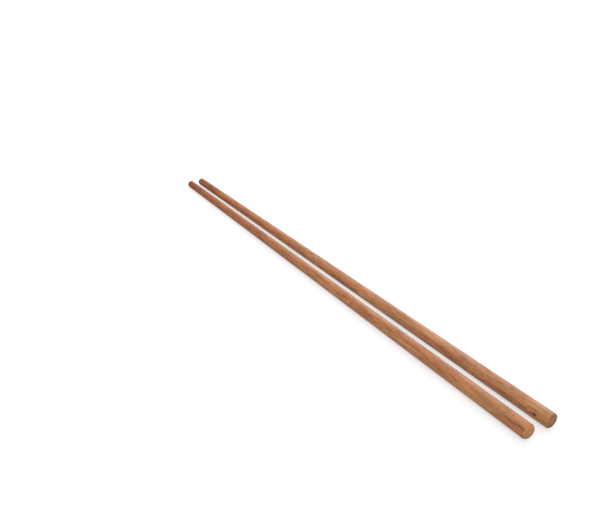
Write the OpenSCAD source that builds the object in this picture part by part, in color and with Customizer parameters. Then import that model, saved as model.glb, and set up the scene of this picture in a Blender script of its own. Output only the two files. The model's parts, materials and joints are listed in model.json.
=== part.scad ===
// A pair of round, tapered wooden chopsticks, each turned from one piece of hardwood.
// The pair lies flat on z = 0: butts towards +X, tips towards -X, left stick on the -Y side
// and right stick on the +Y side. The origin is under the middle of the pair.

/* [Stick] */
// Length of a stick along its axis, from the butt face to the end of the tip
stick_length = 240; // [180:1:330]
// Diameter of a stick at its butt
butt_diameter = 6.8; // [5.2:0.1:9]
// Diameter of a stick at its tip
tip_diameter = 3.4; // [2:0.1:5]

/* [Ends] */
// Radius of the eased edge round the butt face
butt_edge_radius = 0.7; // [0.2:0.1:1.5]
// Radius of the rounded edge of the tip
tip_edge_radius = 0.7; // [0.3:0.1:1.5]

/* [Pair] */
// Clear gap between the two sticks at their butts
butt_gap = 6.4; // [1:0.1:20]
// Clear gap between the two sticks at their tips
tip_gap = 3.1; // [1:0.1:20]

/* [Hidden] */

// Reddish-brown oiled hardwood
wood_colour = "#ab7453";

// Facets of a full turn, and steps of each rounded edge
turn_facets = 96;
edge_steps = 8;

butt_radius = butt_diameter / 2;
tip_radius = tip_diameter / 2;

// The rounded edges may take up most of an end's radius, and always leave a flat in its middle
edge_limit_share = 0.9;
butt_edge = min(butt_edge_radius, butt_radius * edge_limit_share);
tip_edge = min(tip_edge_radius, tip_radius * edge_limit_share);

// Angle between a stick's side and its axis
taper = atan((butt_radius - tip_radius) / stick_length);

// Lying on its side, a stick pitches its tip down by the taper, so its underside is level
lying_height = butt_radius * cos(taper);
lying_length = stick_length * cos(taper);

// Distance of each axis from the middle line, and the angle by which the sticks close towards the tips
butt_offset = butt_radius + butt_gap / 2;
tip_offset = tip_radius + tip_gap / 2;
closing = asin((butt_offset - tip_offset) / lying_length);
butt_place = lying_length * cos(closing) / 2;

// Points of a round edge about a centre, from one angle to another
function edge_arc(centre, radius, from, to) =
    [for (i = [0 : edge_steps])
        let (angle = from + (to - from) * i / edge_steps)
        centre + radius * [cos(angle), sin(angle)]];

// Centres of the two edges, each tangent to its end face and to the tapered side
butt_edge_centre = [butt_radius - butt_edge * (1 + sin(taper)) / cos(taper), butt_edge];
tip_edge_centre = [tip_radius - tip_edge * (1 - sin(taper)) / cos(taper), stick_length - tip_edge];

// Half section of a stick, as [distance from the axis, distance from the butt face]
stick_profile = concat(
    [[0, 0]],
    edge_arc(butt_edge_centre, butt_edge, -90, taper),
    edge_arc(tip_edge_centre, tip_edge, taper, 90),
    [[0, stick_length]]);

// One stick standing on its butt face, turned about its own axis
module chopstick() {
    rotate_extrude($fn = turn_facets)
        polygon(stick_profile);
}

// Lays a standing stick on its side: side is -1 for the left place of the pair and 1 for the right
module laid(side) {
    translate([butt_place, side * butt_offset, lying_height])
        rotate([0, 0, side * closing])
            rotate([0, -90 - taper, 0])
                children();
}

module left_chopstick() {
    color(wood_colour)
        laid(-1)
            chopstick();
}

module right_chopstick() {
    color(wood_colour)
        laid(1)
            chopstick();
}

left_chopstick();
right_chopstick();
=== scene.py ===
# %% [markdown]
# # A pair of wooden chopsticks
# Two round sticks of reddish hardwood lie side by side, thick butts at one end and thin tips at the
# other, a little closer together at the tips. Each was planed round, tapered, sanded and rubbed with
# oil. The frame holds them as plain turned solids. This lesson gives each stick the surface that a
# close look finds on the real one: open pores, faint flats, a drying check, a small knot, rubbed ends,
# growth lines and fibres.

# %% The frame
import json
import math
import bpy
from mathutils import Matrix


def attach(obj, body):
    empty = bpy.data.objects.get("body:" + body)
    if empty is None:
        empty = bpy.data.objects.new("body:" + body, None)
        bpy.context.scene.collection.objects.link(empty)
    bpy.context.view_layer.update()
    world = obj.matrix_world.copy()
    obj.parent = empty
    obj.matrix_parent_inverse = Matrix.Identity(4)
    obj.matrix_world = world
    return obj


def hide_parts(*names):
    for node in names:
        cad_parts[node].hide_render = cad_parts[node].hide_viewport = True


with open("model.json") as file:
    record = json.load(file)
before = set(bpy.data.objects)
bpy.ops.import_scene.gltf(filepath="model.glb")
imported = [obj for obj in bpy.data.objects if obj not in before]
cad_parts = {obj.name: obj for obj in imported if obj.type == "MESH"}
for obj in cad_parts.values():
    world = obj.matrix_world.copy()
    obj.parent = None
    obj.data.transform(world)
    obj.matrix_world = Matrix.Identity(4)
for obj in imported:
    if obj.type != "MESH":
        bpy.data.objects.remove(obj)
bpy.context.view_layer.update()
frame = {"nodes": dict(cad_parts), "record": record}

from types import SimpleNamespace

import bpy
import numpy as np
from mathutils import Color, Matrix, Quaternion, Vector

MM = 0.001


def in_mm(*lengths):
    """Lengths in metres, each divided by a millimetre and rounded for printing."""
    return [round(float(length) / MM, 3) for length in lengths]


print("solids in the frame:", sorted(frame["nodes"]))

# %% [markdown]
# ## The sizes of a stick
# A stick is a long cone with a flat at each end and a rounded edge round each flat. Its sizes could be
# typed in here, but the frame already holds them: the record says where each butt face is and which way
# it looks, and the points of the solid give the rest. Measured this way, the surface made below follows
# the solid if the stick is ever made longer or thicker.

# %% Measure the two sticks
UPWARDS = np.array([0.0, 0.0, 1.0])
SIDE_SHARES = (0.1, 0.9)
END_TOLERANCE = 0.001 * MM


def points_of(node):
    """All the points of a packed solid, one row of x, y and z each."""
    mesh = frame["nodes"][node].data
    flat = np.empty(3 * len(mesh.vertices))
    mesh.vertices.foreach_get("co", flat)
    return flat.reshape(-1, 3)


def unit(vector):
    """The vector divided by its own length."""
    return vector / np.linalg.norm(vector)


def measure(name):
    """A stick's own axes and sizes.

    A point's distance along is its projection on the axis, counted from the butt face, and its distance
    out is the length of what is left of it. On the side, out falls in a straight line as along grows, and
    the line's two ends are the butt and tip radii. A flat end is smaller than that line says by its edge
    radius, times a factor near one that the taper gives."""
    node = name + "_chopstick"
    mount = next(m for m in frame["record"]["mounts"] if m["name"] == name + "_butt_face")
    butt = np.array(mount["pos_m"])
    along = -unit(np.array(mount["axis"]))
    up = unit(UPWARDS - (UPWARDS @ along) * along)
    side = np.cross(up, along)
    offset = points_of(node) - butt
    distance = offset @ along
    out = np.linalg.norm(offset - np.outer(distance, along), axis=1)
    length = distance.max()
    low, high = (share * length for share in SIDE_SHARES)
    straight = (distance > low) & (distance < high)
    slope, butt_radius = np.polyfit(distance[straight], out[straight], 1)
    taper = math.atan(-slope)
    tip_radius = butt_radius + slope * length
    butt_flat = out[distance < END_TOLERANCE].max()
    tip_flat = out[distance > length - END_TOLERANCE].max()
    return SimpleNamespace(
        name=name, node=node, butt=butt, along=along, side=side, up=up,
        length=length, taper=taper, butt_radius=butt_radius, tip_radius=tip_radius,
        butt_edge=(butt_radius - butt_flat) * math.cos(taper) / (1 + math.sin(taper)),
        tip_edge=(tip_radius - tip_flat) * math.cos(taper) / (1 - math.sin(taper)),
    )


sticks = [measure(name) for name in ("left", "right")]
for stick in sticks:
    sizes = (stick.length, 2 * stick.butt_radius, 2 * stick.tip_radius, stick.butt_edge, stick.tip_edge)
    print(stick.name, "length, butt and tip diameters, edges in mm:", in_mm(*sizes))

# %% [markdown]
# ## The outline
# A turned piece is fully said by its half section. The solid in the frame has its arcs in a few steps, so
# the outline is worked out again here with many more rows: across the butt face, round its eased edge, up
# the long side, round the tip's edge and across the tip. Each row keeps the direction in which the surface
# faces there, because every small mark below is sunk along it.

# %% Rows of the half section, and columns round it
FULL_TURN, QUARTER_TURN = 2 * math.pi, math.pi / 2
FACE_ROWS, EDGE_ROWS, SIDE_ROWS, TIP_FACE_ROWS = 20, 12, 576, 8
COLUMNS = 148


def outline(stick):
    """Rows of a stick's half section, from near the middle of the butt face to near the middle of the tip.

    On a face the distance out runs evenly from nothing to the flat's radius. An edge is an arc, and its
    angle goes from the way the butt faces to the way the side faces, or on to the way the tip faces: along
    is its centre plus radius times sine, out is its centre plus radius times cosine. The side is straight.
    run is the length of outline passed since the middle of the butt."""
    tilt, slope = stick.taper, math.tan(stick.taper)
    butt_turn = np.linspace(-QUARTER_TURN, tilt, EDGE_ROWS + 1)
    tip_turn = np.linspace(tilt, QUARTER_TURN, EDGE_ROWS + 1)
    butt_centre = stick.butt_radius - stick.butt_edge * (1 + math.sin(tilt)) / math.cos(tilt)
    tip_centre = stick.tip_radius - stick.tip_edge * (1 - math.sin(tilt)) / math.cos(tilt)
    side_start = stick.butt_edge * (1 + math.sin(tilt))
    side_end = stick.length - stick.tip_edge * (1 - math.sin(tilt))
    side_along = np.linspace(side_start, side_end, SIDE_ROWS + 1)[1:-1]
    butt_out = np.linspace(0, butt_centre, FACE_ROWS + 1)[1:-1]
    tip_out = np.linspace(tip_centre, 0, TIP_FACE_ROWS + 1)[1:-1]
    turn = np.concatenate([
        np.full(len(butt_out), -QUARTER_TURN), butt_turn, np.full(len(side_along), tilt),
        tip_turn, np.full(len(tip_out), QUARTER_TURN)])
    along = np.concatenate([
        np.zeros(len(butt_out)), stick.butt_edge * (1 + np.sin(butt_turn)), side_along,
        stick.length - stick.tip_edge * (1 - np.sin(tip_turn)), np.full(len(tip_out), stick.length)])
    out = np.concatenate([
        butt_out, butt_centre + stick.butt_edge * np.cos(butt_turn), stick.butt_radius - slope * side_along,
        tip_centre + stick.tip_edge * np.cos(tip_turn), tip_out])
    run = out[0] + np.concatenate([[0], np.cumsum(np.hypot(np.diff(along), np.diff(out)))])
    return SimpleNamespace(
        along=along, out=out, run=run, faces_along=np.sin(turn), faces_out=np.cos(turn),
        butt_rim=len(butt_out), side_first=len(butt_out) + EDGE_ROWS,
        tip_rim=len(along) - len(tip_out) - EDGE_ROWS - 1)


turns = np.linspace(0, FULL_TURN, COLUMNS, endpoint=False)
for stick in sticks:
    stick.rows = outline(stick)
    print(stick.name, "rows:", len(stick.rows.along), "outline in mm:", in_mm(stick.rows.run[-1]))

# %% [markdown]
# ## Open pores
# Under oil, the wood's vessels show as short dark dashes along the grain. They are real grooves, a few
# hundredths of a millimetre deep. Drawing a thousand grooves one after another would be slow. Each groove
# is a hump along the stick times a bell round it, so all of them together are one product of two matrices.

# %% Strength of the open pores
SEEDS = {"left": 11, "right": 29}
PORES = 1100
PORE_HALF_LENGTH, PORE_LENGTH_SPREAD = 2.0 * MM, 0.55
PORE_HALF_WIDTHS = (0.11 * MM, 0.20 * MM)
PORE_STRENGTHS = (0.25, 1.0)
PORE_DEPTH = 0.035 * MM
SIDE_POWER = 4


def on_side(stick):
    """One on the side, nothing on the ends: a power of the share by which a row faces outwards."""
    return stick.rows.faces_out[:, None] ** SIDE_POWER


def turned_apart(angle):
    """Angle of every column from this one, the short way round: the difference, wrapped at half a turn."""
    return (turns - angle + math.pi) % FULL_TURN - math.pi


def pores(stick):
    """Strength of the pores, from 0 to 1, at every row and column.

    A pore's hump is one minus the square of the distance along over its half length, where that is
    positive. Its bell is e to minus the square of the distance round over its half width."""
    place = stick.random.uniform(0, stick.length, PORES)
    angle = stick.random.uniform(0, FULL_TURN, PORES)
    half_length = PORE_HALF_LENGTH * stick.random.lognormal(0, PORE_LENGTH_SPREAD, PORES)
    half_width = stick.random.uniform(*PORE_HALF_WIDTHS, PORES)
    strength = stick.random.uniform(*PORE_STRENGTHS, PORES)
    radius = stick.butt_radius - math.tan(stick.taper) * place
    humps = np.clip(1 - ((stick.rows.along[:, None] - place) / half_length) ** 2, 0, None)
    apart = turned_apart(angle[:, None]) * (radius / half_width)[:, None]
    bells = strength[:, None] * np.exp(-apart ** 2)
    return np.minimum(humps @ bells, 1) * on_side(stick)


for stick in sticks:
    stick.random = np.random.default_rng(SEEDS[stick.name])
    stick.pore = pores(stick)
    print(stick.name, "mean strength of the pores:", round(stick.pore.mean(), 3))

# %% [markdown]
# ## Sanding
# A stick that was planed and sanded by hand is never quite round: it has faint flats and long, slow waves
# that the light picks up. Noise would look like hammering, so a few cosines in the angle and the length
# are enough. The depths only go inwards, so a stick never reaches below what it lies on.

# %% Depth of the sanding marks
OVAL_DEPTH, FLATS_DEPTH, WAVE_DEPTH = 0.020 * MM, 0.012 * MM, 0.010 * MM
OVAL_TWIST, FLATS_TWIST, WAVE_LENGTH = 85 * MM, 60 * MM, 31 * MM
OVAL_SIDES, FLAT_SIDES = 2, 3


def sanding(stick):
    """Depth left by sanding: an oval and three faint flats that turn slowly along the stick, and a slow wave.

    Each is half its depth times one plus a cosine, so it runs from nothing to the depth. The oval's
    cosine goes round twice and the flats' three times, both turned by the distance along."""
    oval_start, flats_start, wave_start = stick.random.uniform(0, FULL_TURN, 3)
    along = stick.rows.along[:, None]
    oval = 1 + np.cos(OVAL_SIDES * turns + oval_start + along / OVAL_TWIST)
    flats = 1 + np.cos(FLAT_SIDES * turns + flats_start - along / FLATS_TWIST)
    wave = 1 + np.cos(along / WAVE_LENGTH * FULL_TURN + wave_start + np.cos(turns))
    depth = (OVAL_DEPTH * oval + FLATS_DEPTH * flats + WAVE_DEPTH * wave) / 2
    return depth * stick.rows.faces_out[:, None]


for stick in sticks:
    stick.sanding = sanding(stick)
    print(stick.name, "sanded off in mm, mean and most:", in_mm(stick.sanding.mean(), stick.sanding.max()))

# %% [markdown]
# ## A drying check
# Wood is never the same twice. The left stick has a drying check, a fine wavy split that opens at the edge
# of its butt and closes a finger's breadth further on. It could be a cut curve, but a bell across a wavy
# line gives the groove, and a wider bell on the same line gives the wood that darkened beside it.

# %% Strength of the check
CHECK_STRENGTHS = {"left": 1.0, "right": 0.0}
CHECK_ANGLE, CHECK_SWING = math.radians(32), math.radians(5.5)
CHECK_WAVE_LENGTH, CHECK_WAVE_START = 8.3 * MM, 1.6 * MM
CHECK_START, CHECK_REACH = 0.3 * MM, 1.0 * MM
CHECK_LENGTH, CHECK_FADE = 16 * MM, 2.5
CHECK_HALF_WIDTH, CHECK_HALO = 0.34 * MM, 0.95 * MM
CHECK_DEPTH = 0.11 * MM


def round_distance(stick, angle):
    """Distance round the stick from a line at this angle, which may change from row to row."""
    return turned_apart(angle) * stick.rows.out[:, None]


def check(stick, half_width):
    """Strength of the drying check: a bell of this half width across a wavy line, which fades along it.

    The line's angle is a mean plus a swing times the sine of the distance from the butt. Its strength
    climbs over a short reach behind the rim, stays full, then falls evenly to nothing at its length."""
    along = stick.rows.along[:, None]
    phase = (along - CHECK_WAVE_START) / CHECK_WAVE_LENGTH * FULL_TURN
    opening = (along - CHECK_START) / CHECK_REACH
    closing = CHECK_FADE * (1 - along / CHECK_LENGTH)
    fade = np.clip(np.minimum(opening, closing), 0, 1)
    apart = round_distance(stick, CHECK_ANGLE + CHECK_SWING * np.sin(phase))
    return CHECK_STRENGTHS[stick.name] * fade * np.exp(-(apart / half_width) ** 2)


for stick in sticks:
    stick.check = check(stick, CHECK_HALF_WIDTH)
    stick.halo = check(stick, CHECK_HALO)
    print(stick.name, "check, deepest place in mm:", in_mm(CHECK_DEPTH * stick.check.max()))

# %% [markdown]
# ## Knots and patches
# The right stick has a pin knot, the stub of a twig, close to its butt, and both sticks have a few dark
# specks, long dark patches and small amber ones. A random scatter does for pores, but on these the eye rests,
# so each has a place of its own. All are ovals on the skin: sharp and a little sunken for a knot, soft and
# only a colour for a patch. A patch of negative strength is an amber one.

# %% Strength of the knots and the patches
KNOT_DEPTH = 0.07 * MM
KNOT_SHARPNESS, PATCH_SHARPNESS = 4.0, 2.0


def spot(place, turn, half_length, half_width, strength=1.0):
    """A mark's place along the stick in mm, its turn in degrees, its half length, half width and strength."""
    return SimpleNamespace(
        place=place * MM, angle=math.radians(turn), half_length=half_length * MM,
        half_width=half_width * MM, strength=strength)


KNOTS = {
    "left": [
        spot(1.4, 30, 0.55, 0.40, 0.6),  # speck where the check opens
        spot(12.0, 39, 0.90, 0.40, 0.4),  # faint speck where it closes
    ],
    "right": [
        spot(6.6, 8, 1.10, 0.75),  # pin knot
        spot(8.2, 6, 0.90, 0.32, 0.8),  # its tail
        spot(13.9, -12, 0.60, 0.35, 0.8),  # speck beyond it
    ],
}
PATCHES = {
    "left": [
        spot(20.5, 36, 4.0, 1.3, 1.3),  # dark patch beyond the check
        spot(46, 20, 7.0, 1.0, 0.5),  # faint dark patch
        spot(78, 52, 22.0, 0.7, 0.6),  # long dark streak
        spot(6.3, 10, 3.4, 0.7, -0.9),  # amber below the check
    ],
    "right": [
        spot(17.0, 20, 6.0, 1.2, 0.5),  # faint dark patch beyond the knot
        spot(61, 30, 9.0, 1.0, 0.5),  # longer one further on
        spot(4.2, 2, 0.7, 0.5, -0.9),  # amber between the knot and the rim
        spot(1.6, 9, 1.6, 0.7, -0.6),  # amber at the rim
    ],
}


def spots(stick, marks, sharpness):
    """Strength of a stick's marks, added up: each is e to minus a power of the elliptical distance."""
    total = np.zeros((len(stick.rows.along), COLUMNS))
    for mark in marks:
        along = (stick.rows.along[:, None] - mark.place) / mark.half_length
        across = round_distance(stick, mark.angle) / mark.half_width
        total = total + mark.strength * np.exp(-(along ** 2 + across ** 2) ** (sharpness / 2))
    return total * on_side(stick)


for stick in sticks:
    stick.knot = spots(stick, KNOTS[stick.name], KNOT_SHARPNESS)
    stick.patch = spots(stick, PATCHES[stick.name], PATCH_SHARPNESS) + stick.halo
    print(stick.name, "knots and specks:", len(KNOTS[stick.name]), "patches:", len(PATCHES[stick.name]))

# %% [markdown]
# ## Rubbed ends
# The maker knocked the sharp edge off each butt with a few strokes of sandpaper, deeper in some places than
# in others, and the left butt was rubbed much more than the right one. A Bevel would be the same all round.
# A bell about the middle of the edge, times slow cosines round it, is as uneven as the real one.

# %% Depth of the uneven easing
EASING_DEPTHS = {"left": 0.46 * MM, "right": 0.08 * MM}
EASING_TURN, ONE_SIDE, BOTH_SIDES = math.radians(-50), 0.45, 0.55
EASING_HALF_WIDTH = 0.65 * MM


def outline_bell(stick, place, half_width):
    """A bell in the outline's length about this place on it, one value for each row."""
    return np.exp(-((stick.rows.run - place) / half_width) ** 2)[:, None]


def easing(stick):
    """Extra depth round the butt's edge: a bell about the middle of the edge, times how much it was rubbed.

    Rubbing is most at one turn, where two cosines about that turn, one of them of twice the angle, are
    both one. It is less at the opposite turn, where only the second is one."""
    middle = (stick.rows.run[stick.rows.butt_rim] + stick.rows.run[stick.rows.side_first]) / 2
    apart = turns - EASING_TURN
    rubbed = (ONE_SIDE * (1 + np.cos(apart)) + BOTH_SIDES * (1 + np.cos(2 * apart))) / 2
    return EASING_DEPTHS[stick.name] * outline_bell(stick, middle, EASING_HALF_WIDTH) * rubbed


for stick in sticks:
    stick.easing = easing(stick)
    print(stick.name, "butt rubbed in mm, most:", in_mm(stick.easing.max()))

# %% [markdown]
# ## The end grain, and painted shade at the butt
# End grain drinks more oil than the side. A fine dark line is painted as shade where the butt's face meets
# its edge, and on the lower side of each butt, where the edge turns towards the table, a band behind that
# line is darkened as painted shade. These could be painted on by hand, but the outline already says where
# they are.
# So each becomes a share from 0 to 1 that the mesh carries and the finish reads.

# %% Shares of end grain, and of painted shade on the rim and the lower edge
RIM_HALF_WIDTH = 0.16 * MM
SHADE_EDGE_TURN, SHADE_EDGE_INSET, SHADE_EDGE_HALF_WIDTH = math.radians(-120), 0.30 * MM, 0.65 * MM


def end_grain(stick):
    """One on the faces, nothing on the side: the square of the share by which a row faces along the axis."""
    return np.repeat(stick.rows.faces_along[:, None] ** 2, COLUMNS, axis=1)


def rim(stick):
    """A thin ring of painted shade where the butt's face meets its edge: a bell in the outline's length."""
    start = stick.rows.run[stick.rows.butt_rim]
    return np.repeat(outline_bell(stick, start, RIM_HALF_WIDTH), COLUMNS, axis=1)


# Painted shade: the lower side of each butt's edge, where it turns down towards the table, is darkened.
def soaked_edge(stick):
    """A bell just inside the butt's rim, times the square of half of one plus a cosine round it."""
    place = stick.rows.run[stick.rows.butt_rim] - SHADE_EDGE_INSET
    lowest = ((1 + np.cos(turns - SHADE_EDGE_TURN)) / 2) ** 2
    return outline_bell(stick, place, SHADE_EDGE_HALF_WIDTH) * lowest


for stick in sticks:
    stick.end_grain = end_grain(stick)
    stick.rim = rim(stick)
    stick.soaked_edge = soaked_edge(stick)
    mean_shares = [round(share.mean(), 4) for share in (stick.end_grain, stick.rim, stick.soaked_edge)]
    print(stick.name, "mean shares of end grain, rim and painted shade edge:", mean_shares)

# %% [markdown]
# ## The surface
# Spinning the half section about the axis would give the round form, but none of the marks. So every point
# of a stick is worked out by itself: its butt's middle, plus its distance along the axis, plus its distance
# out in the direction of its turn, less its depth in the direction it faces. That is one sum of whole arrays.

# %% Points of a stick
def surface(stick):
    """Points of a stick: butt + along * axis + out * turn direction - depth * facing direction.

    The turn direction is cosine times the stick's own side plus sine times its own up. Two more points,
    the middles of the butt and of the tip, come last."""
    rows = stick.rows
    turn_direction = np.cos(turns)[:, None] * stick.side + np.sin(turns)[:, None] * stick.up
    along = rows.along[:, None] - stick.depth * rows.faces_along[:, None]
    out = rows.out[:, None] - stick.depth * rows.faces_out[:, None]
    grid = stick.butt + along[:, :, None] * stick.along + out[:, :, None] * turn_direction
    ends = stick.butt + np.outer([along[0].mean(), along[-1].mean()], stick.along)
    return np.concatenate([grid.reshape(-1, 3), ends])


for stick in sticks:
    stick.depth = stick.sanding + stick.easing + PORE_DEPTH * stick.pore
    stick.depth = stick.depth + CHECK_DEPTH * stick.check + KNOT_DEPTH * stick.knot
    stick.points = surface(stick)
    print(stick.name, "points:", len(stick.points), "deepest in mm:", in_mm(stick.depth.max()))

# %% [markdown]
# ## The faces
# The grid of points closes on itself round the stick, and a fan of triangles about a single point closes it
# at each end, so the skin has no gap and no loose edge. The corners go round each face so that it looks
# outwards.

# %% Corners of the faces
def grid_steps(rows):
    """Row and column of every square of the grid, which reaches to the next row and the next column."""
    row, column = np.meshgrid(np.arange(len(rows.along) - 1), np.arange(COLUMNS), indexing="ij")
    return row.ravel(), column.ravel()


def square_corners(row, column):
    """Rows and columns of the four corners of each square, in their order round it."""
    corner_rows = np.stack([row, row, row + 1, row + 1], axis=-1)
    corner_columns = np.stack([column, column + 1, column + 1, column], axis=-1)
    return corner_rows, corner_columns


def faces(rows):
    """Corners of all the squares, then of the triangles about each end's middle.

    A point's number is its row times the columns, plus its column. The last column meets the first."""
    corner_rows, corner_columns = square_corners(*grid_steps(rows))
    squares = corner_rows * COLUMNS + corner_columns % COLUMNS
    first = np.arange(COLUMNS)
    second = (first + 1) % COLUMNS
    last_row = (len(rows.along) - 1) * COLUMNS
    butt_middle = np.full(COLUMNS, len(rows.along) * COLUMNS)
    butt_fan = np.stack([butt_middle, second, first], axis=-1)
    tip_fan = np.stack([butt_middle + 1, last_row + first, last_row + second], axis=-1)
    return squares, np.concatenate([butt_fan, tip_fan])


for stick in sticks:
    stick.squares, stick.triangles = faces(stick.rows)
    print(stick.name, "squares:", len(stick.squares), "triangles:", len(stick.triangles))

# %% [markdown]
# ## The unrolled skin
# A skin that is to carry a picture of the finish needs a flat map. Left to itself, a long thin stick would
# become one hair-thin strip. So the side is cut into four strips that lie above each other, each as wide as
# the map, and each end with its rounded edge becomes a disc above them.

# %% A map of four strips and two discs
STRIPS, STRIP_PITCH, STRIP_HEIGHT, MAP_MARGIN = 4, 0.222, 0.212, 0.006
DISC_HEIGHT = 0.944
BUTT_DISC = SimpleNamespace(place=0.06, radius=0.050)
TIP_DISC = SimpleNamespace(place=0.16, radius=0.030)


def on_disc(disc, share, column):
    """A point of a disc: its middle plus its radius times the share, in the column's direction."""
    turn = column / COLUMNS * FULL_TURN
    reach = disc.radius * share
    return np.stack([disc.place + reach * np.cos(turn), DISC_HEIGHT + reach * np.sin(turn)], axis=-1)


def on_strips(rows, row, corner_rows, corner_columns):
    """A point of a strip: the share of its length, and its own place plus the share of a full turn."""
    rows_in_strip = (rows.tip_rim - rows.side_first) // STRIPS
    strip = np.clip((row - rows.side_first) // rows_in_strip, 0, STRIPS - 1)[:, None]
    passed = (corner_rows - rows.side_first) / rows_in_strip - strip
    sideways = MAP_MARGIN + (1 - 2 * MAP_MARGIN) * passed
    upwards = MAP_MARGIN + STRIP_PITCH * strip + STRIP_HEIGHT * corner_columns / COLUMNS
    return np.stack([sideways, upwards], axis=-1)


def unrolled(rows):
    """Places on the map of all corners, in the faces' order: the squares, then the two fans.

    On an end, the share of the disc's radius is the length of outline from the end's own middle, over that
    length where the side begins."""
    row, column = grid_steps(rows)
    corner_rows, corner_columns = square_corners(row, column)
    whole = rows.run[-1] + rows.out[-1]
    from_butt = rows.run / rows.run[rows.side_first]
    from_tip = (whole - rows.run) / (whole - rows.run[rows.tip_rim])
    on_butt, on_tip = row < rows.side_first, row >= rows.tip_rim
    places = on_strips(rows, row, corner_rows, corner_columns)
    places[on_butt] = on_disc(BUTT_DISC, from_butt[corner_rows], corner_columns)[on_butt]
    places[on_tip] = on_disc(TIP_DISC, from_tip[corner_rows], -corner_columns)[on_tip]
    first = np.arange(COLUMNS)
    butt_shares = np.array([0, from_butt[0], from_butt[0]])
    tip_shares = np.array([0, from_tip[-1], from_tip[-1]])
    butt_fan = on_disc(BUTT_DISC, butt_shares, np.stack([first, first + 1, first], axis=-1))
    tip_fan = on_disc(TIP_DISC, tip_shares, -np.stack([first, first, first + 1], axis=-1))
    return np.concatenate([part.reshape(-1, 2) for part in (places, butt_fan, tip_fan)])


for stick in sticks:
    stick.map = unrolled(stick.rows)
    print(stick.name, "map runs from", stick.map.min(axis=0).round(3), "to", stick.map.max(axis=0).round(3))

# %% [markdown]
# ## The two sticks
# Now the parts come together in a mesh, which also carries the shares that the finish reads. Points, corners,
# shares and the map go in as whole arrays. The map has the name that the export looks for, so the finish is
# painted on its strips and discs. Each stick rides with the part and stands for its plain solid.

# %% Make both sticks
MESH_LABELS = ("pore", "check", "knot", "patch", "end_grain", "rim", "soaked_edge")
MAP_NAME = "OFBake"


def make_mesh(name, stick):
    """A smooth mesh of the stick's points, faces, shares and map.

    At an end's middle point, a share is the mean of the ring of points round it."""
    mesh = bpy.data.meshes.new(name)
    kinds = (stick.squares, stick.triangles)
    corners = np.concatenate([kind.ravel() for kind in kinds])
    counts = np.concatenate([np.full(len(kind), kind.shape[1]) for kind in kinds])
    mesh.vertices.add(len(stick.points))
    mesh.loops.add(len(corners))
    mesh.polygons.add(len(counts))
    mesh.vertices.foreach_set("co", stick.points.astype(np.float32).ravel())
    mesh.loops.foreach_set("vertex_index", corners.astype(np.int32))
    mesh.polygons.foreach_set("loop_start", (np.cumsum(counts) - counts).astype(np.int32))
    mesh.polygons.foreach_set("use_smooth", np.ones(len(counts), bool))
    mesh.update(calc_edges=True)
    for label in MESH_LABELS:
        share = getattr(stick, label)
        flat = np.concatenate([share.ravel(), [share[0].mean(), share[-1].mean()]]).astype(np.float32)
        mesh.attributes.new(label, "FLOAT", "POINT").data.foreach_set("value", flat)
    skin = mesh.uv_layers.new(name=MAP_NAME)
    skin.uv.foreach_set("vector", stick.map.astype(np.float32).ravel())
    return mesh


for stick in sticks:
    piece_name = stick.name + "_stick"
    stick.piece = bpy.data.objects.new(piece_name, make_mesh(piece_name, stick))
    bpy.context.scene.collection.objects.link(stick.piece)
    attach(stick.piece, "root")
    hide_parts(stick.node)
    print(piece_name, "faces:", len(stick.piece.data.polygons))

# %% [markdown]
# ## Shader sums
# Wood is drawn by sums of patterns. Wiring each sum by hand takes a line for every node and hides the
# formula. Here one small class holds the output of a node and knows the operators, so a formula in Python
# adds the Math nodes that work it out. Any other node comes from the same class's node method.

# %% A socket that does sums
class Wire:
    """The output socket of a node. A sum of wires and numbers adds a Math node and gives its output."""

    def __init__(self, socket):
        self.socket = socket

    @staticmethod
    def plug(node, values):
        """Puts a wire or a plain value into each named socket of a node."""
        for name, value in values.items():
            if isinstance(value, Wire):
                node.id_data.links.new(value.socket, node.inputs[name])
            else:
                node.inputs[name].default_value = value

    @staticmethod
    def node(tree, kind, settings=None, values=None):
        """Adds a node of this kind, first with its settings, then with what goes into its sockets."""
        made = tree.nodes.new(kind)
        for name, setting in (settings or {}).items():
            setattr(made, name, setting)
        Wire.plug(made, values or {})
        return made

    @staticmethod
    def math(operation, *values):
        """Adds a Math node on these wires and numbers, in the tree of the first wire among them."""
        tree = next(value.socket.id_data for value in values if isinstance(value, Wire))
        made = Wire.node(tree, "ShaderNodeMath", {"operation": operation}, dict(enumerate(values)))
        return Wire(made.outputs["Value"])

    def __add__(self, other):
        return Wire.math("ADD", self, other)

    def __sub__(self, other):
        return Wire.math("SUBTRACT", self, other)

    def __rsub__(self, other):
        return Wire.math("SUBTRACT", other, self)

    def __mul__(self, other):
        return Wire.math("MULTIPLY", self, other)

    __radd__ = __add__
    __rmul__ = __mul__


print("operators on a wire:", [name for name in vars(Wire) if name.endswith(("add__", "sub__", "mul__"))])

# %% [markdown]
# ## Patterns that run with the grain
# All the patterns live in the stick's own millimetres: x from the butt to the tip, y and z across it. A
# Mapping node turns Object coordinates into these. A pattern is then a noise stretched along x, because
# fibres, streaks and vessels differ only in how long and how wide they are. As the noise is solid, what runs
# as a streak along the side comes out as a dot on the end grain, as in real wood.

# %% Own coordinates and stretched noise
NOISE_MIDDLE, NOISE_SPREAD, NOISE_ROUGHNESS = 0.5, 6.0, 0.58
PATTERNS = {
    "fibres": SimpleNamespace(length=15.0, width=0.45, detail=3.0),
    "blots": SimpleNamespace(length=9.0, width=1.6, detail=2.0),
    "hue": SimpleNamespace(length=30.0, width=3.0, detail=2.0),
    "vessels": SimpleNamespace(length=2.6, width=0.13, detail=2.0),
    "waver": SimpleNamespace(length=38.0, width=9.0, detail=2.0),
    "clouds": SimpleNamespace(length=17.0, width=7.0, detail=2.0),
    "flecks": SimpleNamespace(length=4.2, width=0.6, detail=2.0),
}


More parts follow.
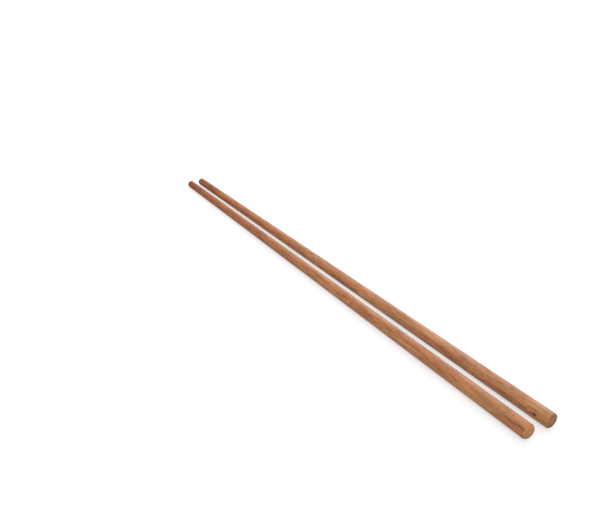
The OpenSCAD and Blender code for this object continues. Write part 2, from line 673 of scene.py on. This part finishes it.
def own_millimetres(tree, stick):
    """Object coordinates less the butt's place, turned to the stick's axes and divided by a millimetre."""
    axes = Matrix((stick.along, stick.side, stick.up)).transposed()
    place = Wire.node(tree, "ShaderNodeTexCoord").outputs["Object"]
    return Wire(Wire.node(tree, "ShaderNodeMapping", {"vector_type": "TEXTURE"}, {
        "Vector": Wire(place), "Location": tuple(stick.butt),
        "Rotation": axes.to_euler(), "Scale": (MM, MM, MM)}).outputs["Vector"])


def streaks(own, pattern, shift):
    """Noise whose blots are as long and wide in millimetres as the pattern says, mostly from -1 to 1.

    The detail says how many finer copies lie over it, and the shift takes it from a place of its own."""
    tree = own.socket.id_data
    stretched = Wire(Wire.node(tree, "ShaderNodeMapping", {"vector_type": "POINT"}, {
        "Vector": own, "Location": (shift, shift, shift),
        "Scale": (1 / pattern.length, 1 / pattern.width, 1 / pattern.width)}).outputs["Vector"])
    noise = Wire.node(tree, "ShaderNodeTexNoise", {}, {
        "Vector": stretched, "Scale": 1.0, "Detail": pattern.detail, "Roughness": NOISE_ROUGHNESS})
    return (Wire(noise.outputs["Fac"]) - NOISE_MIDDLE) * NOISE_SPREAD


for label, pattern in PATTERNS.items():
    print("pattern of", label, "in mm, length and width:", (pattern.length, pattern.width))

# %% [markdown]
# ## Steps and colours
# Two more tools are needed. A smooth step turns a pattern or a place into a share from 0 to 1, and a mix by
# that share goes from one colour to another. A Color Ramp does both at once, but its stops can't take a
# colour that another mix has made. Colours are written as they show on a screen, because that is how one
# compares them with the wood.

# %% Smooth steps, mixes and screen colours
SCREEN_WHITE = 255
# A Mix node's colour sockets have the same names as its number sockets, so they go by their places
MIX_SHARE, MIX_FIRST, MIX_SECOND, MIX_RESULT = 0, 6, 7, 2


def step(value, low, high):
    """A smooth step of the value: 0 up to low, 1 from high."""
    made = Wire.node(value.socket.id_data, "ShaderNodeMapRange", {"interpolation_type": "SMOOTHSTEP"}, {
        "Value": value, "From Min": low, "From Max": high})
    return Wire(made.outputs["Result"])


def blend(share, first, second):
    """A colour between two others: the first where share is 0, the second where it is 1."""
    made = Wire.node(share.socket.id_data, "ShaderNodeMix", {"data_type": "RGBA"}, {
        MIX_SHARE: share, MIX_FIRST: first, MIX_SECOND: second})
    return Wire(made.outputs[MIX_RESULT])


def painted(red, green, blue):
    """A colour given as it shows on a screen, from 0 to 255, as the linear colour that a shader takes."""
    shown = Color((red, green, blue)) / SCREEN_WHITE
    return (*shown.from_srgb_to_scene_linear(), 1.0)


PORE_BROWN = painted(116, 64, 33)
print("pore brown in linear light:", [round(part, 3) for part in PORE_BROWN])

# %% [markdown]
# ## The grain
# Growth lines come first: rings about a pith far outside the stick, cut at a slight slope, so that they run
# out along its side. A Wave Texture has rings too, but late wood darkens slowly and ends at once, which the
# fraction of a ring's number gives. Flecks lie over the rings, and fine pores crowd where there are flecks.
# The grooves of the open pores get ragged edges from the same fine vessels, or they would look drawn. The
# sticks aren't cut from the same place in a board, so each takes its patterns from a place of its own.

# %% Growth lines, flecks and pores
RING_GAP, RING_SLOPE, RING_WAVER = 1.9, 0.011, 0.35
LATE_START, LATE_FULL, LATE_END, RING_END = 0.45, 0.93, 0.95, 1.0
FLECK_RANGE, FINE_PORE_RANGE, PORE_RANGE = (0.2, 1.1), (0.75, 1.05), (0.42, 0.80)
CROWDING, VESSEL_PULL = 0.75, 0.18
TIP_WEAR_AND_SHADE_SHARES, TIP_STAIN_AND_SHADE_SHARES = (0.42, 1.0), (0.90, 1.0)
SHIFTS = {"left": 3.7, "right": 41.3}
PITHS = {"left": (14.0, -31.0), "right": (-27.0, 22.0)}


def growth_lines(along, across, high, waver, pith):
    """Dark late wood at the end of each ring.

    A ring's number is the distance from the pith over the ring's width, plus a slope along the stick and a
    slow waver. Its fraction climbs from 0 to 1 through each ring, and the dark part is its last stretch."""
    sideways, upwards = across - pith[0], high - pith[1]
    from_pith = Wire.math("SQRT", sideways * sideways + upwards * upwards)
    ring = Wire.math("FRACT", (1 / RING_GAP) * from_pith + RING_SLOPE * along + RING_WAVER * waver)
    return step(ring, LATE_START, LATE_FULL) * (1 - step(ring, LATE_END, RING_END))


def grain(tree, stick):
    """All the wires that the finish is made of: the patterns, the mesh's own shares and the places."""
    own = own_millimetres(tree, stick)
    wires = SimpleNamespace()
    for number, (label, pattern) in enumerate(PATTERNS.items(), start=1):
        setattr(wires, label, streaks(own, pattern, SHIFTS[stick.name] + number))
    for label in MESH_LABELS:
        held = Wire.node(tree, "ShaderNodeAttribute", {"attribute_name": label})
        setattr(wires, label, Wire(held.outputs["Fac"]))
    places = Wire.node(tree, "ShaderNodeSeparateXYZ", {}, {"Vector": own}).outputs
    along, wires.across, high = (Wire(places[axis]) for axis in "XYZ")
    length = stick.length / MM
    # The tip shares carry wear, and for the colour they also carry painted shade.
    wires.tip = step(along, *(share * length for share in TIP_WEAR_AND_SHADE_SHARES))
    wires.stain = step(along, *(share * length for share in TIP_STAIN_AND_SHADE_SHARES))
    wires.late = growth_lines(along, wires.across, high, wires.waver, PITHS[stick.name])
    wires.flecks = step(wires.flecks, *FLECK_RANGE)
    wires.fine_pores = step(wires.vessels + CROWDING * wires.flecks, *FINE_PORE_RANGE)
    wires.pore = step(wires.pore + VESSEL_PULL * wires.vessels, *PORE_RANGE)
    return wires


print("growth rings in a butt:", round(2 * sticks[0].butt_radius / MM / RING_GAP, 1))

# %% [markdown]
# ## Oiled wood
# The colour is built as oil shows it. Two close browns mix in slow bands, and the end grain has its own. The
# tips are darker and redder, partly from wear and water and partly as painted shade, and their last stretch
# goes to a deep brown, partly stain and partly painted shade.
# Everything that is open to the oil, such as pores, flecks and late wood, then goes towards a deep pore brown
# and not towards grey. A single picture of wood could hold all this, but it would stretch on the taper and
# show a seam.

# %% The browns of each stick
# The last two strengths of each look darken the butt's rim and the lower side of its edge as painted shade.
LOOKS = {
    "left": SimpleNamespace(
        red=painted(174, 108, 66), gold=painted(180, 126, 80), tip=painted(149, 79, 44),
        end_left=painted(208, 148, 92), end_right=painted(236, 156, 108), rim=0.05, soaked_edge=0.42),
    "right": SimpleNamespace(
        red=painted(177, 117, 76), gold=painted(183, 133, 89), tip=painted(164, 99, 60),
        end_left=painted(180, 117, 80), end_right=painted(174, 125, 68), rim=0.40, soaked_edge=0.72),
}
# The tips' darker, redder colours are partly wear and stain, partly painted shade.
TIP_STAIN_AND_SHADE, AMBER = painted(104, 54, 18), painted(186, 112, 52)
HUE_RANGE, PATCH_RANGE, END_RANGE = (-1.0, 1.0), (0.0, 1.0), (-1.2, 1.2)
END_SHARE, TIP_SHARE, TIP_STAIN_AND_SHADE_SHARE, AMBER_SHARE = 0.85, 0.85, 0.55, 0.7
FLECK_SHARE, LATE_SHARE, FINE_PORE_SHARE, PORE_SHARE = 0.16, 0.18, 0.62, 0.52
END_CLOSED = 0.4


def browns(look, wires):
    """Red and gold bands, end grain, a darker tip and its stain, both partly painted shade, then amber."""
    colour = blend(step(wires.hue, *HUE_RANGE), look.red, look.gold)
    end = blend(step(wires.across, *END_RANGE), look.end_right, look.end_left)
    colour = blend(END_SHARE * wires.end_grain, colour, end)
    colour = blend(TIP_SHARE * wires.tip, colour, look.tip)
    colour = blend(TIP_STAIN_AND_SHADE_SHARE * wires.stain, colour, TIP_STAIN_AND_SHADE)
    return blend(AMBER_SHARE * step(0 - wires.patch, *PATCH_RANGE), colour, AMBER)


def oiled(wires, colour):
    """The colour under oil: a share of pore brown for flecks, late wood and pores, less on end grain."""
    open_wood = FLECK_SHARE * wires.flecks + LATE_SHARE * wires.late
    open_wood = open_wood + FINE_PORE_SHARE * wires.fine_pores + PORE_SHARE * wires.pore
    return blend(open_wood * (1 - END_CLOSED * wires.end_grain), colour, PORE_BROWN)


for name, look in LOOKS.items():
    print(name, "red and gold in linear light:", [round(part, 3) for part in look.red + look.gold])

# %% [markdown]
# ## Tones and marks
# Fibres, blots and clouds make the whole a little lighter or darker, most of all on the worn tips. Patches
# only darken, and so does the painted shade on the butt's rim and on the lower side of its edge. The check
# and the knots come last, each with a darker heart whose edge the fine vessels fray.

# %% Tones, the check and the knots
FIBRE_TONE, BLOT_TONE, CLOUD_TONE, PATCH_TONE = 0.13, 0.14, 0.10, 0.27
MOTTLE, TIP_MOTTLE, END_CALM = 0.85, 0.6, 0.6
CHECK_BROWN, CHECK_HEART = painted(142, 80, 36), painted(92, 50, 18)
CHECK_SHARE, CHECK_HEART_SHARE, CHECK_HEART_RANGE = 0.40, 0.72, (0.50, 0.95)
KNOT_BROWN, KNOT_HEART = painted(124, 68, 16), painted(92, 48, 6)
KNOT_SHARE, KNOT_RANGE, KNOT_HEART_SHARE, KNOT_HEART_RANGE = 0.92, (0.15, 0.7), 0.6, (0.6, 1.0)


def toned(look, wires, colour):
    """The colour times a tone: one plus the mottle, times one less each share that darkens."""
    mottle = FIBRE_TONE * wires.fibres + BLOT_TONE * wires.blots + CLOUD_TONE * wires.clouds
    tone = 1 + mottle * (MOTTLE + TIP_MOTTLE * wires.tip) * (1 - END_CALM * wires.end_grain)
    tone = tone * (1 - PATCH_TONE * step(wires.patch, *PATCH_RANGE))
    # Painted shade: the rim and the lower side of the butt's edge are darkened here.
    tone = tone * (1 - look.rim * wires.rim) * (1 - look.soaked_edge * wires.soaked_edge)
    tree = tone.socket.id_data
    made = Wire.node(tree, "ShaderNodeVectorMath", {"operation": "SCALE"}, {0: colour, "Scale": tone})
    return Wire(made.outputs["Vector"])


def marked(wires, colour):
    """The colour with the check and the knots over it, each a share of a brown, then of its heart's brown."""
    colour = blend(CHECK_SHARE * wires.check, colour, CHECK_BROWN)
    split = step(wires.check + VESSEL_PULL * wires.vessels, *CHECK_HEART_RANGE)
    colour = blend(CHECK_HEART_SHARE * split, colour, CHECK_HEART)
    knot = wires.knot + VESSEL_PULL * wires.vessels
    colour = blend(KNOT_SHARE * step(knot, *KNOT_RANGE), colour, KNOT_BROWN)
    return blend(KNOT_HEART_SHARE * step(knot, *KNOT_HEART_RANGE), colour, KNOT_HEART)


print("tones reach about", FIBRE_TONE + BLOT_TONE + CLOUD_TONE, "each way before the ends and tips")

# %% [markdown]
# ## Gloss and relief
# Oil leaves a soft satin, duller where pores are open, on the end grain and where the tips are worn. The same
# patterns give a relief of a hundredth of a millimetre or so, which is too fine to be made of points.

# %% Wear the wood
SATIN, FIBRE_DULL, FINE_PORE_DULL, PORE_DULL, END_DULL, TIP_DULL = 0.47, 0.05, 0.12, 0.15, 0.12, 0.10
FIBRE_HEIGHT, FINE_PORE_HEIGHT, LATE_HEIGHT = 0.25, -0.8, -0.35
RELIEF_STRENGTH, RELIEF_DEPTH = 0.6, 0.02 * MM
OIL_REFLECTION = 0.35


def oiled_wood(stick):
    """The finish of one stick: colour, gloss and fine relief from the same wires."""
    material = bpy.data.materials.new(stick.name + "_oiled_wood")
    material.use_nodes = True
    tree = material.node_tree
    look, wires = LOOKS[stick.name], grain(tree, stick)
    colour = marked(wires, toned(look, wires, oiled(wires, browns(look, wires))))
    dull = SATIN + FIBRE_DULL * wires.fibres + FINE_PORE_DULL * wires.fine_pores + PORE_DULL * wires.pore
    dull = dull + END_DULL * wires.end_grain + TIP_DULL * wires.tip
    height = FIBRE_HEIGHT * wires.fibres + FINE_PORE_HEIGHT * wires.fine_pores + LATE_HEIGHT * wires.late
    relief = Wire.node(tree, "ShaderNodeBump", {}, {
        "Strength": RELIEF_STRENGTH, "Distance": RELIEF_DEPTH, "Height": height})
    Wire.plug(tree.nodes["Principled BSDF"], {
        "Base Color": colour, "Roughness": dull, "Normal": Wire(relief.outputs["Normal"]),
        "Specular IOR Level": OIL_REFLECTION})
    return material


for stick in sticks:
    stick.piece.data.materials.append(oiled_wood(stick))
    worn = stick.piece.data.materials[0]
    print(stick.piece.name, "wears", worn.name, "of", len(worn.node_tree.nodes), "nodes")

# %% [markdown]
# ## Floor
# The sticks lie on a white table in even light. The floor is plain matt white and takes the sticks' shadow.
# More light would turn it clean white, but would bleach the wood as well. So it adds a little light of its
# own, which only the camera and mirror-like rays see.

# %% A white floor that keeps the shadow
FLOOR_HALF_WIDTH = 6.0
FLOOR_WHITE, FLOOR_LIFT = 0.50, 0.54
MATT, NO_REFLECTION = 1.0, 0.0


def seen_directly(tree):
    """One for a ray from the camera, and for a reflected or a transmitted one that shows the surroundings."""
    path = Wire.node(tree, "ShaderNodeLightPath").outputs
    camera_ray, glossy_ray, clear_ray = (
        Wire(path[name]) for name in ("Is Camera Ray", "Is Glossy Ray", "Is Transmission Ray"))
    return Wire.math("MAXIMUM", Wire.math("MAXIMUM", camera_ray, glossy_ray), clear_ray)


def white_floor():
    """Matt white, plus a lift that is glow times one where the ray looks at it directly."""
    material = bpy.data.materials.new("matt_white")
    material.use_nodes = True
    tree = material.node_tree
    shader = tree.nodes["Principled BSDF"]
    Wire.plug(shader, {
        "Base Color": (FLOOR_WHITE, FLOOR_WHITE, FLOOR_WHITE, 1.0),
        "Roughness": MATT, "Specular IOR Level": NO_REFLECTION})
    glow = Wire.node(tree, "ShaderNodeEmission", {}, {"Strength": FLOOR_LIFT * seen_directly(tree)})
    both = Wire.node(tree, "ShaderNodeAddShader", {}, {
        0: Wire(shader.outputs["BSDF"]), 1: Wire(glow.outputs["Emission"])})
    Wire.plug(tree.nodes["Material Output"], {"Surface": Wire(both.outputs["Shader"])})
    return material


corner_signs = np.array([(-1, -1, 0), (1, -1, 0), (1, 1, 0), (-1, 1, 0)])
floor_mesh = bpy.data.meshes.new("floor")
floor_mesh.from_pydata((FLOOR_HALF_WIDTH * corner_signs).tolist(), [], [(0, 1, 2, 3)])
floor_mesh.materials.append(white_floor())
floor = bpy.data.objects.new("floor", floor_mesh)
bpy.context.scene.collection.objects.link(floor)
print("floor:", 2 * FLOOR_HALF_WIDTH, "m square")

# %% [markdown]
# ## Light
# The wood is lit as on a photographer's table: a broad lamp in front and above, a weaker one overhead, a low
# one behind that draws a soft sheen along the tops, and a pale room all round. A sun lamp with a wide angle
# is such a source, and it lights a large floor evenly, which a lamp near the table wouldn't. Together they
# light a level surface at about the strength at which it shows its own colour.

# %% Three broad soft lamps, and a pale room
LAMPS = [
    SimpleNamespace(name="overhead", strength=0.55, width=55, height=80, way=135),
    SimpleNamespace(name="front", strength=1.65, width=60, height=45, way=-68),
    SimpleNamespace(name="behind", strength=1.7, width=60, height=26, way=135),
]
ROOM_STRENGTH = 0.32
WHITE = (1.0, 1.0, 1.0, 1.0)


def soft_lamp(lamp):
    """Hangs a lamp at a height and a way round the table, in degrees, and gives its light on a level surface.

    The direction to it is cosine of height times the cosine and sine of the way, and upwards the sine of
    height. A level surface gets the strength times that sine, over pi."""
    data = bpy.data.lights.new(lamp.name, "SUN")
    data.energy = lamp.strength
    data.angle = math.radians(lamp.width)
    hung = bpy.data.objects.new(lamp.name, data)
    bpy.context.scene.collection.objects.link(hung)
    height, way = math.radians(lamp.height), math.radians(lamp.way)
    towards = Vector((math.cos(height) * math.cos(way), math.cos(height) * math.sin(way), math.sin(height)))
    hung.rotation_mode = "QUATERNION"
    hung.rotation_quaternion = towards.to_track_quat("Z", "Y")
    return lamp.strength * math.sin(height) / math.pi


level_light = ROOM_STRENGTH + sum(soft_lamp(lamp) for lamp in LAMPS)

room = bpy.data.worlds.new("pale_room")
room.use_nodes = True
bpy.context.scene.world = room
Wire.plug(room.node_tree.nodes["Background"], {
    "Color": WHITE, "Strength": ROOM_STRENGTH + (1 - ROOM_STRENGTH) * seen_directly(room.node_tree)})
print("level light:", round(level_light, 3))

# %% [markdown]
# ## Camera
# The picture looks along the pair from beyond the butts, a little from the left and from above, through a
# lens that is long enough to keep the taper honest. The numbers were found by matching the edges and ends
# of both sticks. The picture is 601 pixels wide, so a focal length in pixels becomes one in millimetres.

# %% The camera
PICTURE_WIDTH = 601
FOCAL_PIXELS = 1115.0
EYE = Vector((313.49, -303.35, 265.41)) * MM
AIM = Vector((-35.05, 3.92, 0.0)) * MM
ROLL = math.radians(6.31)
NEAREST_SEEN = 10 * MM

camera_data = bpy.data.cameras.new("camera")
camera_data.sensor_fit = "HORIZONTAL"
camera_data.lens = camera_data.sensor_width * FOCAL_PIXELS / PICTURE_WIDTH
camera_data.clip_start = NEAREST_SEEN
camera = bpy.data.objects.new("camera", camera_data)
bpy.context.scene.collection.objects.link(camera)
camera.location = EYE
camera.rotation_mode = "QUATERNION"
camera.rotation_quaternion = (AIM - EYE).to_track_quat("-Z", "Y") @ Quaternion((0, 0, 1), ROLL)
bpy.context.scene.camera = camera
bpy.context.scene.view_settings.view_transform = "Standard"
print("lens:", round(camera_data.lens, 2), "mm, eye to aim:", round((AIM - EYE).length, 3), "m")

# %% [markdown]
# ## The size
# Pores, rubbing and sanding only take wood away, so the finished pair must lie inside the box of its solids.
